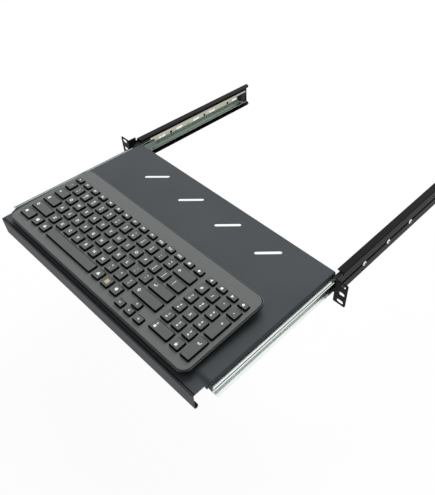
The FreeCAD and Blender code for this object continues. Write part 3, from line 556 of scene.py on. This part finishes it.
for piece in makePair(makeBracket, "bracketLeft", "bracket", ("rack_brackets", "rack_brackets"),
                      [bracketBlack, grooveShadeBlack]):
    # painted shade: the inside of the groove in the web gets near-black
    tint(piece, 1, lambda middle, normal: abs(middle.z) < bracket["groove"] / 2 + slack
         and bracket["grooveTint"] < abs(middle.x) - outerHigh.x < bracket["sheet"] - slack * 2)
print("brackets bent")

# ball-bearing slides: rolled channels and balls, lines as level, width and depth
slide = {"sheet": 1.2 * mm, "race": 2.55 * mm, "raceEnd": math.radians(10), "corner": 0.9 * mm,
         "edge": 0.15 * mm, "hole": 2.5 * mm, "screwHole": 2.2 * mm, "holeFirst": 46 * mm, "holeStep": 20 * mm,
         "screwHoles": (1, 4, 7), "openHoles": (0, 2, 6, 9), "slots": (1, 3, 5, 7), "slotLength": 15 * mm,
         "slotDeep": 0.5 * mm, "slotTint": 2.6 * mm, "rearSlot": 22 * mm, "ball": 2.45 * mm,
         "ballStep": 12 * mm, "darkFront": 36 * mm, "outerShade": 4 * mm, "innerShade": 3 * mm,
         "lines": ((-3.6 * mm, 1.4 * mm, 0.6 * mm), (-6.6 * mm, 0.8 * mm, 0.35 * mm)),
         "innerLines": ((3.4 * mm, 1.8 * mm, 0.4 * mm), (-1.6 * mm, 1.6 * mm, 0.4 * mm))}
cageLow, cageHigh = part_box("right_ball_cage")
ballLow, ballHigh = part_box("right_balls")
ballAcross = (ballLow.x + ballHigh.x) / 2
ballUp = outerHigh.z - slide["race"] - slide["sheet"]


def railHole(number):
    return slide["holeFirst"] + slide["holeStep"] * number


def rollChannel(name, webAcross, level, front, rear):
    # a web with two edges that turn over and end in raceways
    piece = addPlate(name, (webAcross, front, -level), (webAcross, rear, level))
    sweep = math.pi / 2 - slide["raceEnd"]
    for up in (-1, 1):
        selectEdges(piece, lambda a, b: near(a.z, up * level, hair) and near(b.z, up * level, hair)
                    and near(a.x, webAcross, hair))
        pull(ballAcross - webAcross, 0, 0)
        bpy.ops.mesh.spin(steps=8, angle=up * sweep, center=(ballAcross, 0, up * ballUp), axis=(0, 1, 0))
    selectEdges(piece, lambda a, b: near(a.x, webAcross, hair) and near(b.x, webAcross, hair)
                and near(a.z, b.z, hair) and near(abs(a.z), level, hair))
    roundEdges(slide["corner"], steps=3)
    thicken(piece, slide["sheet"], (-1, 0, 0))
    return piece


def makeOuterRail():
    webInside = outerHigh.x - slide["sheet"]
    piece = rollChannel("outerRailRight", webInside, ballUp + slide["race"], outerLow.y, outerHigh.y)
    cutters = [holeCutter(webInside, railHole(number), slide["screwHole"]) for number in slide["screwHoles"]]
    cutters += [holeCutter(webInside, railHole(number), slide["hole"]) for number in slide["openHoles"]]
    # lengthwise lines that the rollers leave in the web
    for level, width, deep in slide["lines"]:
        cutters.append(addBlock("line", (webInside - past, outerLow.y - past, level - width / 2),
                                (webInside + deep, outerHigh.y + past, level + width / 2)))
    # blind slots
    pockets = []
    for place in [*map(railHole, slide["slots"]), outerHigh.y - slide["rearSlot"]]:
        pocket = slotCutter(slide["slotLength"], slide["hole"] * 2, (0, 0, 0), (0, 0, math.pi / 2))
        putAt(pocket, (webInside + slide["slotDeep"] - cutDeep / 2, place, 0), (0, math.pi / 2, 0))
        pockets.append(pocket)
    cutOut(piece, cutters)
    cutOut(piece, pockets)
    breakEdges(piece, slide["edge"])
    faceOutwards(piece)
    cutAcross(piece, (0, slide["darkFront"], 0), (0, 1, 0))
    smooth(piece)
    return piece


def makeInnerRail():
    piece = rollChannel("innerRailRight", innerLow.x, ballUp - slide["race"], innerLow.y, innerHigh.y)
    cutOut(piece, [holeCutter(innerLow.x, place, slide["screwHole"]) for place in shelfScrewPlaces])
    webOutside = innerLow.x + slide["sheet"]
    for level, width, deep in slide["innerLines"]:
        cutOut(piece, [addBlock("line", (webOutside - deep, innerLow.y - past, level - width / 2),
                                (webOutside + past, innerHigh.y + past, level + width / 2))])
    breakEdges(piece, slide["edge"])
    faceOutwards(piece)
    cutAcross(piece, (0, shelfHigh.y, 0), (0, 1, 0))
    smooth(piece)
    return piece


def makeBalls():
    startFresh()
    bpy.ops.mesh.primitive_cube_add(size=slide["ball"])
    ball = bpy.context.object
    edit(ball, "SELECT")
    bpy.ops.mesh.subdivide(number_cuts=5)
    bpy.ops.transform.tosphere(value=1)
    startFresh()
    scaleUp = slide["ball"] / max(vertex.co.length for vertex in ball.data.vertices)
    ball.scale = (scaleUp, scaleUp, scaleUp)
    applyPlace(ball)
    cageMiddle = (cageLow.y + cageHigh.y) / 2
    balls = []
    for up in (-ballUp, ballUp):
        for number in (-1, 0, 1):
            one = copyOf(ball, "ball")
            putAt(one, (ballAcross, cageMiddle + slide["ballStep"] * number, up))
            balls.append(one)
    bpy.data.objects.remove(ball)
    whole = joinAll("ballsRight", balls)
    smooth(whole, angle=60)
    return whole


def tintOuterRail(piece):
    webInside = outerHigh.x - slide["sheet"]
    slotFloor = webInside + slide["slotDeep"]
    tint(piece, 1, lambda middle, normal: middle.x < 0 and middle.z < -slide["outerShade"])
    # painted shade: the lengthwise lines get near-black green zinc
    for level, width, _ in slide["lines"]:
        tint(piece, 2, lambda middle, normal: near(middle.z, level, width / 2 + slack)
             and webInside + slack * 2 < abs(middle.x) < outerHigh.x - slack * 2)
    # painted highlight: the floors of the blind slots get near-white zinc
    tint(piece, 3, lambda middle, normal: abs(middle.z) < slide["slotTint"] and abs(normal.x) > squarely
         and near(abs(middle.x), slotFloor, snug))
    # painted shade: the upper front part of the slide's mouth gets near-black green zinc
    tint(piece, 2, lambda middle, normal: middle.y < slide["darkFront"] and middle.z > slide["outerShade"])


def tintInnerRail(piece):
    webOutside = innerLow.x + slide["sheet"]
    tint(piece, 2, lambda middle, normal: middle.x < 0 and middle.z < -slide["innerShade"])
    # painted shade on the tails behind the shelf: near-black on the right, dark green-grey on the left
    tint(piece, 1, lambda middle, normal: middle.x > 0 and middle.y > shelfHigh.y)
    tint(piece, 3, lambda middle, normal: middle.x < 0 and middle.y > shelfHigh.y)
    # painted shade: the lengthwise lines get near-black green zinc
    for level, width, deep in slide["innerLines"]:
        tint(piece, 1, lambda middle, normal: near(middle.z, level, width / 2 + slack)
             and webOutside - deep - slack < abs(middle.x) < webOutside - slack * 2)


# the left outer rail gets darker yellow zinc than the right one, painted shade for its inside face in the
# bracket's shadow
for piece in makePair(makeOuterRail, "outerRailLeft", "outer_rail", ("rack_brackets", "rack_brackets"),
                      [slideZinc, railShade, railShadeDeep, railSlotGlint],
                      [railZincShaded, railShade, railShadeDeep, railSlotGlint]):
    tintOuterRail(piece)
for piece in makePair(makeInnerRail, "innerRailLeft", "inner_rail", ("tray", "tray"),
                      [slideZinc, railShadeDeep, railShade, railTailShade]):
    tintInnerRail(piece)
makePair(makeBalls, "ballsLeft", "balls", ("right_cage", "left_cage"), [ballSteel])
print("slides rolled")

# stop blocks at the rear of the slides
bumper = {"nose": 3 * mm, "edge": 0.6 * mm}
bumperLow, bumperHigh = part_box("right_rail_bumper")


def makeBumper():
    block = addBlock("bumperRight", bumperLow, bumperHigh)
    selectEdges(block, lambda a, b: max(a.x, b.x) < bumperLow.x + hair and max(a.y, b.y) < bumperLow.y + hair)
    roundEdges(bumper["nose"], steps=6)
    breakEdges(block, bumper["edge"], steps=3)
    smooth(block)
    return block


makePair(makeBumper, "bumperLeft", "rail_bumper", ("rack_brackets", "rack_brackets"),
         [bumperBlack])

# pan-head screws with a cross recess, each turned by its place along the rail
screw = {"head": 3.75 * mm, "height": 1.85 * mm, "crown": 1.2 * mm, "shank": 2 * mm, "recess": 2.6 * mm,
         "blade": 1.5 * mm, "deep": 1.1 * mm, "turn": 0.4, "turnPerMetre": 40}


def makeScrew(shankLength):
    # seat at x = 0, head towards +x
    top, halfBlade = screw["height"], screw["blade"] / 2
    recessFloor = top - screw["deep"]
    piece = addRod("screw", (top / 2, 0, 0), screw["head"], top, "x", sides=28)
    selectEdges(piece, lambda a, b: min(a.x, b.x) > top - hair)
    roundEdges(screw["crown"], steps=4)
    for wide, high in ((screw["recess"], halfBlade), (halfBlade, screw["recess"])):
        cutOut(piece, [addBlock("blade", (recessFloor, -wide, -high), (top + past, wide, high))])
    selectFaces(piece, lambda middle, normal: normal.x < -squarely and middle.x < hair)
    bpy.ops.mesh.inset(thickness=screw["head"] - screw["shank"])
    pull(-shankLength, 0, 0)
    startFresh()
    for finish in (screwZinc, railShadeDeep, railZincShaded):
        piece.data.materials.append(finish)
    # painted shade: the cross recess gets near-black green zinc
    tint(piece, 1, lambda middle, normal: recessFloor - slack < middle.x < top - slack
         and math.hypot(middle.y, middle.z) < screw["recess"] + snug)
    smooth(piece)
    return piece


def placeScrews(name, seat, shankLength, outward, places):
    screws = []
    model = makeScrew(shankLength)
    for side in (-1, 1):
        for place in places:
            one = copyOf(model, "screw")
            putAt(one, (side * seat, place, 0), (screw["turn"] + place * screw["turnPerMetre"], 0,
                                                 0 if side * outward > 0 else math.pi))
            screws.append(one)
    bpy.data.objects.remove(model)
    whole = joinAll(name, screws)
    smooth(whole)
    return whole


slideScrews = placeScrews("slideScrews", outerHigh.x + bracket["sheet"], bracket["sheet"] + slide["sheet"], 1,
                          railScrewPlaces)
carry(slideScrews, "rack_brackets", ["rail_screws"])
# the tip of the middle screws has the rail's finish
tint(slideScrews, 2, lambda middle, normal: abs(middle.x) < outerHigh.x
     and near(middle.y, railScrewPlaces[1], screw["head"]))
shelfScrews = placeScrews("shelfScrews", shelfHigh.x - shelf["sheet"], shelf["sheet"] + slide["sheet"], -1,
                          shelfScrewPlaces)
carry(shelfScrews, "tray", ["tray_screws"])
print("screws placed")

# keyboard: laid out flat from its front edge, then tilted onto the shelf
keyboard = {"width": 377.95 * mm, "depth": 137.7 * mm, "inset": 6.8 * mm, "lift": 1.1 * mm, "height": 6 * mm,
            "split": 3 * mm, "corner": 13 * mm, "topRound": 1.6 * mm, "wall": 1.8 * mm, "deck": 1.5 * mm,
            "shift": -5 * mm, "rim": 1.2 * mm, "rimTint": 1 * mm, "ledge": 0.8 * mm, "litSlope": 0.6,
            "darkRear": 0.1}
keys = {"step": 19.05 * mm, "rowStep": 18.2 * mm, "gap": 4 * mm, "taper": 0.9 * mm, "bottom": 4 * mm,
        "top": 8.8 * mm, "play": 0.6 * mm, "corner": 1.9 * mm, "edge": 0.35 * mm, "litEdge": 0.6,
        "blank": 6 * mm, "firstRow": 21.9 * mm, "functionRow": 110.5 * mm, "functionDepth": 8.6 * mm,
        "arrowDepth": 9.8 * mm, "arrowHigh": 25.1 * mm, "arrowLow": 13.1 * mm, "mainLeft": 6 * mm,
        "padLeft": 295.75 * mm}
legend = {"function": 4.4 * mm, "arrow": 3.8 * mm, "double": 4.2 * mm, "single": 5.6 * mm, "patch": 6 * mm,
          "bold": 0.035, "lineSpace": 1.05, "span": 0.8, "lift": 0.03 * mm}
legendLevel = keys["top"] + legend["lift"]
pressAxis = Vector(next(joint["axis"] for joint in frame["joints"] if joint["name"] == "space_bar_press"))
tilt = math.atan2(pressAxis.y, -pressAxis.z)
keyboardPlace = (Matrix.Translation((keyboard["shift"], shelfLow.y + keyboard["inset"],
                                     shelfHigh.z + keyboard["lift"] * math.cos(tilt)))
                 @ Matrix.Rotation(tilt, 4, "X"))


def keyRun(block, row, first, marks, width=1, rows=1):
    # neighbouring keys as (block, row, first column, width, rows, legend)
    return [(block, row, first + width * number, width, rows, mark) for number, mark in enumerate(marks)]


leftArrow, upArrow, rightArrow, downArrow = "\u2190\u2191\u2192\u2193"
square, dot, triangle, backSign, playSign = "\u25a0\u25cf\u25b2\u25c0\u25b6"
crossSign, capitalsSign, shiftSign, enterSign = "\u00d7\u21ea\u21e7\u21b5"
functionMarks = [crossSign] + [f"F{number}" for number in range(1, 13)] + [square, dot]
numberMarks = ["~\n`", "!\n1", "@\n2", "#\n3", "$\n4", "%\n5", "^\n6", "&\n7", "*\n8", "(\n9", ")\n0", "_\n-",
               "+\n="]
keyRows = {
    "function_keys": keyRun("main", "function", 0, functionMarks),
    "media_keys": keyRun("pad", "function", 0, [backSign, square, playSign, dot]),
    "number_keys": keyRun("main", 4, 0, numberMarks),
    "backspace_key": keyRun("main", 4, 13, [leftArrow], width=2),
    "tab_key": keyRun("main", 3, 0, [rightArrow], width=1.5),
    "upper_letter_keys": keyRun("main", 3, 1.5, [*"QWERTYUIOP", "{\n[", "}\n]"]),
    "backslash_key": keyRun("main", 3, 13.5, ["|\n\\"], width=1.5),
    "capitals_key": keyRun("main", 2, 0, [capitalsSign], width=1.75),
    "home_letter_keys": keyRun("main", 2, 1.75, [*"ASDFGHJKL", ":\n;", "\"\n'"]),
    "enter_key": keyRun("main", 2, 12.75, [enterSign], width=2.25),
    "left_shift_key": keyRun("main", 1, 0, [shiftSign], width=2.25),
    "lower_letter_keys": keyRun("main", 1, 2.25, [*"ZXCVBNM", "<\n,", ">\n.", "?\n/"]),
    "right_shift_key": keyRun("main", 1, 12.25, [shiftSign], width=2.75),
    "left_control_key": keyRun("main", 0, 0, [dot], width=1.5),
    "modifier_keys": (keyRun("main", 0, 1.5, [square, triangle])
                      + keyRun("main", 0, 9.1, [triangle, "patch", dot])),
    "space_bar": keyRun("main", 0, 3.5, [""], width=5.6),
    "arrow_keys": (keyRun("main", "low", 12.15, [leftArrow, downArrow, rightArrow], width=0.95)
                   + keyRun("main", "high", 13.1, [upArrow], width=0.95)),
    "number_pad_keys": (keyRun("pad", 4, 0, "#/*-")
                        + keyRun("pad", 3, 0, ["7\n" + leftArrow, "8\n" + upArrow, "9\n" + rightArrow])
                        + keyRun("pad", 2, 0, ["4\n" + leftArrow, "5", "6\n" + rightArrow])
                        + keyRun("pad", 1, 0, ["1\n" + leftArrow, "2\n" + downArrow, "3\n" + rightArrow])
                        + keyRun("pad", 0, 2, [".\n" + square])),
    "pad_zero_key": keyRun("pad", 0, 0, ["0\n" + square], width=2),
    "pad_plus_key": keyRun("pad", 2, 3, ["+"], rows=2),
    "pad_enter_key": keyRun("pad", 0, 3, [enterSign], rows=2),
}


def keyPlace(block, row, first, width, rows):
    left = keys["mainLeft"] if block == "main" else keys["padLeft"]
    middle = left + keys["step"] * (first + width / 2) - keyboard["width"] / 2
    across = keys["step"] * width - keys["gap"]
    if row == "function":
        return middle, keys["functionRow"], across, keys["functionDepth"]
    if row in ("low", "high"):
        return middle, keys["arrowLow" if row == "low" else "arrowHigh"], across, keys["arrowDepth"]
    place = keys["firstRow"] + keys["rowStep"] * (row + (rows - 1) / 2)
    return middle, place, across, keys["rowStep"] * rows - keys["gap"]


def layOnShelf(piece):
    piece.matrix_world = keyboardPlace @ piece.matrix_world
    applyPlace(piece)


def makeBlank(name, bottom, steps):
    # little more than its rounded corners, stretched for every key
    half = keys["blank"] / 2
    blank = addBlock(name, (-half, -half, bottom), (half, half, keys["top"]))
    selectEdges(blank, lambda a, b: not near(a.z, b.z, hair))
    roundEdges(keys["corner"], steps)
    return blank


def makeCap():
    cap = makeBlank("cap", keys["bottom"], steps=4)
    selectFaces(cap, lambda middle, normal: normal.z > squarely)
    ratio = 1 - keys["taper"] * 2 / keys["blank"]
    bpy.ops.transform.resize(value=(ratio, ratio, 1), center_override=(0, 0, keys["top"]))
    selectEdges(cap, lambda a, b: min(a.z, b.z) > keys["top"] - hair)
    roundEdges(keys["edge"], steps=2)
    cap.data.materials.append(keyGrey)
    cap.data.materials.append(keySideShade)
    # painted shade: the sides of the caps below the lit top edge get near-black
    tint(cap, 1, lambda middle, normal: middle.z <= keys["top"] - keys["edge"] * keys["litEdge"])
    smooth(cap, angle=50)
    return cap


def placeCopy(blank, name, x, y, across, along):
    one = copyOf(blank, name)
    stretch(one, across - keys["blank"], along - keys["blank"])
    putAt(one, (x, y, 0))
    return one


def legendSize(line, mark):
    if line == "function":
        return legend["function"]
    if line in ("low", "high"):
        return legend["arrow"]
    return legend["double" if "\n" in mark else "single"]


def addLegend(mark, x, y, size):
    startFresh()
    bpy.ops.object.text_add(location=(0, 0, 0))
    text = bpy.context.object
    text.data.body = mark
    text.data.size = size
    text.data.offset = size * legend["bold"]
    text.data.space_line = legend["lineSpace"]
    text.data.resolution_u = 2
    text.data.align_x = "CENTER"
    text.data.align_y = "CENTER"
    bpy.ops.object.convert(target="MESH")
    flat = bpy.context.object
    flat.data.materials.clear()
    flat.data.materials.append(legendWhite)
    putAt(flat, (x, y, legendLevel))
    return flat


def addPatch(x, y):
    half = legend["patch"] / 2
    patch = addPlate("patch", (x - half, y - half, legendLevel), (x + half, y + half, legendLevel))
    patch.data.materials.append(patchGold)
    return patch


def makeKeys():
    cap = makeCap()
    well = makeBlank("well", keyboard["split"], steps=3)
    wells = []
    for node, row in keyRows.items():
        parts = []
        for block, line, first, width, rows, mark in row:
            middle, place, across, along = keyPlace(block, line, first, width, rows)
            parts.append(placeCopy(cap, node + "Cap", middle, place, across, along))
            if mark == "patch":
                parts.append(addPatch(middle, place))
            elif mark:
                # on long keys the legend keeps to the left and rear
                left = (across - min(across, keys["step"] * legend["span"])) / 2
                rear = (along - min(along, keys["rowStep"])) / 2
                parts.append(addLegend(mark, middle - left, place + rear, legendSize(line, mark)))
            wells.append(placeCopy(well, "well", middle, place, across + keys["play"] * 2,
                                   along + keys["play"] * 2))
        keyPiece = joinAll(node + "Caps", parts)
        layOnShelf(keyPiece)
        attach(keyPiece, node)
        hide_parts(node)
    bpy.data.objects.remove(cap)
    bpy.data.objects.remove(well)
    return wells


def makeTopShell(wells):
    half = keyboard["width"] / 2
    rimTop = keyboard["split"] + keyboard["rim"]

    def isPaintedShade(middle, normal):
        # painted shade: near-black on the walls of the openings, the steep sides, the inside and the rear edge
        outside = max(abs(middle.x) - half, -middle.y, middle.y - keyboard["depth"]) > -keyboard["rimTint"]
        onTop = normal.z > keyboard["litSlope"] and normal.y < keyboard["darkRear"]
        return not (onTop or (outside and middle.z < rimTop))

    piece = addBlock("keyDeck", (-half, 0, keyboard["split"]), (half, keyboard["depth"], rimTop))
    selectEdges(piece, lambda a, b: not near(a.z, b.z, hair))
    roundEdges(keyboard["corner"], steps=12)
    selectFaces(piece, lambda middle, normal: normal.z > squarely)
    bpy.ops.mesh.inset(thickness=keyboard["ledge"])
    pull(0, 0, keyboard["height"] - rimTop)
    selectEdges(piece, lambda a, b: min(a.z, b.z) > keyboard["height"] - hair)
    roundEdges(keyboard["topRound"], steps=5)
    selectFaces(piece, lambda middle, normal: normal.z < -squarely)
    bpy.ops.mesh.inset(thickness=keyboard["wall"])
    pull(0, 0, keyboard["height"] - keyboard["split"] - keyboard["deck"])
    startFresh()
    cutOut(piece, wells)
    smooth(piece)
    carry(piece, "keyboard", ["keyboard_top_shell"], [deckGrey, deckShadeBlack])
    tint(piece, 1, isPaintedShade)
    layOnShelf(piece)


makeTopShell(makeKeys())
print("keyboard laid on the shelf")

# CAD nodes that keep their own shape
# the bottom shell and battery door are dark plastic, darkened further as painted shade for the gap under the
# keyboard
ownShape = {"keyboard_bottom_shell": baseShadeBlack, "battery_door": baseShadeBlack, "contact_membrane": membraneFilm,
            "dome_sheet": domeRubber, "circuit_board": boardGreen, "batteries": cellSleeve,
            "keyboard_feet": footRubber, "left_ball_cage": cageSteel, "right_ball_cage": cageSteel}
for node, finish in ownShape.items():
    mesh = frame["nodes"][node].data
    mesh.materials.clear()
    mesh.materials.append(finish)

# floor, light and camera
studio = {"floor": -0.16, "floorSize": 14, "paper": 0.8, "paperRough": 0.9, "white": 0.96, "fill": 0.25,
          "lamp": 420.0, "lampSize": 3.4, "lampPlace": (-2.0, 3.4, 2.8)}


def addMath(tree, operation, first):
    node = tree.nodes.new("ShaderNodeMath")
    node.operation = operation
    node.use_clamp = True
    tree.links.new(first, node.inputs[0])
    return node


def whiteToTheEye(tree, plain, bright, output, share):
    # rays that show the set see it white, the light on the object stays plain
    path = tree.nodes.new("ShaderNodeLightPath")
    seen = addMath(tree, "ADD", path.outputs["Is Camera Ray"])
    tree.links.new(path.outputs["Is Glossy Ray"], seen.inputs[1])
    shown = addMath(tree, "ADD", seen.outputs[0])
    tree.links.new(path.outputs["Is Transmission Ray"], shown.inputs[1])
    part = addMath(tree, "MULTIPLY", shown.outputs[0])
    part.inputs[1].default_value = share
    mix = tree.nodes.new("ShaderNodeMixShader")
    tree.links.new(part.outputs[0], mix.inputs[0])
    tree.links.new(plain.outputs[0], mix.inputs[1])
    tree.links.new(bright.outputs[0], mix.inputs[2])
    tree.links.new(mix.outputs[0], output.inputs["Surface"])


world = bpy.data.worlds.new("studio")
world.use_nodes = True
scene.world = world
sky = world.node_tree
plainSky = sky.nodes["Background"]
plainSky.inputs["Color"].default_value = (1, 1, 1, 1)
plainSky.inputs["Strength"].default_value = studio["fill"]
brightSky = sky.nodes.new("ShaderNodeBackground")
brightSky.inputs["Color"].default_value = (1, 1, 1, 1)
whiteToTheEye(sky, plainSky, brightSky, sky.nodes["World Output"], 1)

startFresh()
bpy.ops.mesh.primitive_plane_add(size=studio["floorSize"], location=(0, 0, studio["floor"]))
floor = bpy.context.object
floor.name = "floor"
floorPaper = bpy.data.materials.new("floorPaper")
floorPaper.use_nodes = True
paperTree = floorPaper.node_tree
paper = paperTree.nodes["Principled BSDF"]
paper.inputs["Base Color"].default_value = (studio["paper"], studio["paper"], studio["paper"], 1)
paper.inputs["Roughness"].default_value = studio["paperRough"]
paper.inputs["Specular IOR Level"].default_value = 0
glow = paperTree.nodes.new("ShaderNodeEmission")
whiteToTheEye(paperTree, paper, glow, paperTree.nodes["Material Output"], studio["white"])
floor.data.materials.append(floorPaper)

lampData = bpy.data.lights.new("softbox", "AREA")
lampData.energy = studio["lamp"]
lampData.size = studio["lampSize"]
lamp = bpy.data.objects.new("softbox", lampData)
scene.collection.objects.link(lamp)
lamp.visible_glossy = False
lamp.location = studio["lampPlace"]
lamp.rotation_euler = (-Vector(studio["lampPlace"])).to_track_quat("-Z", "Y").to_euler()

view = {"azimuth": math.radians(39.425), "elevation": math.radians(45.208), "roll": math.radians(3.206),
        "place": Vector((455.16, -396.01, 542.44)) * mm, "lens": 38.35, "shiftX": -0.13545,
        "shiftY": -0.01194, "nearest": 10 * mm}
azimuth, elevation, roll = view["azimuth"], view["elevation"], view["roll"]
backward = Vector((math.sin(azimuth) * math.cos(elevation), -math.cos(azimuth) * math.cos(elevation),
                   math.sin(elevation)))
sideways = Vector((math.cos(azimuth), math.sin(azimuth), 0))
upward = backward.cross(sideways)
rolledSide = sideways * math.cos(roll) + upward * math.sin(roll)
rolledUp = upward * math.cos(roll) - sideways * math.sin(roll)
cameraData = bpy.data.cameras.new("photoView")
cameraData.lens = view["lens"]
cameraData.shift_x = view["shiftX"]
cameraData.shift_y = view["shiftY"]
cameraData.clip_start = view["nearest"]
camera = bpy.data.objects.new("photoView", cameraData)
cameraTurn = Matrix((rolledSide, rolledUp, backward)).transposed().to_4x4()
camera.matrix_world = Matrix.Translation(view["place"]) @ cameraTurn
scene.collection.objects.link(camera)
scene.camera = camera
print("set lit")
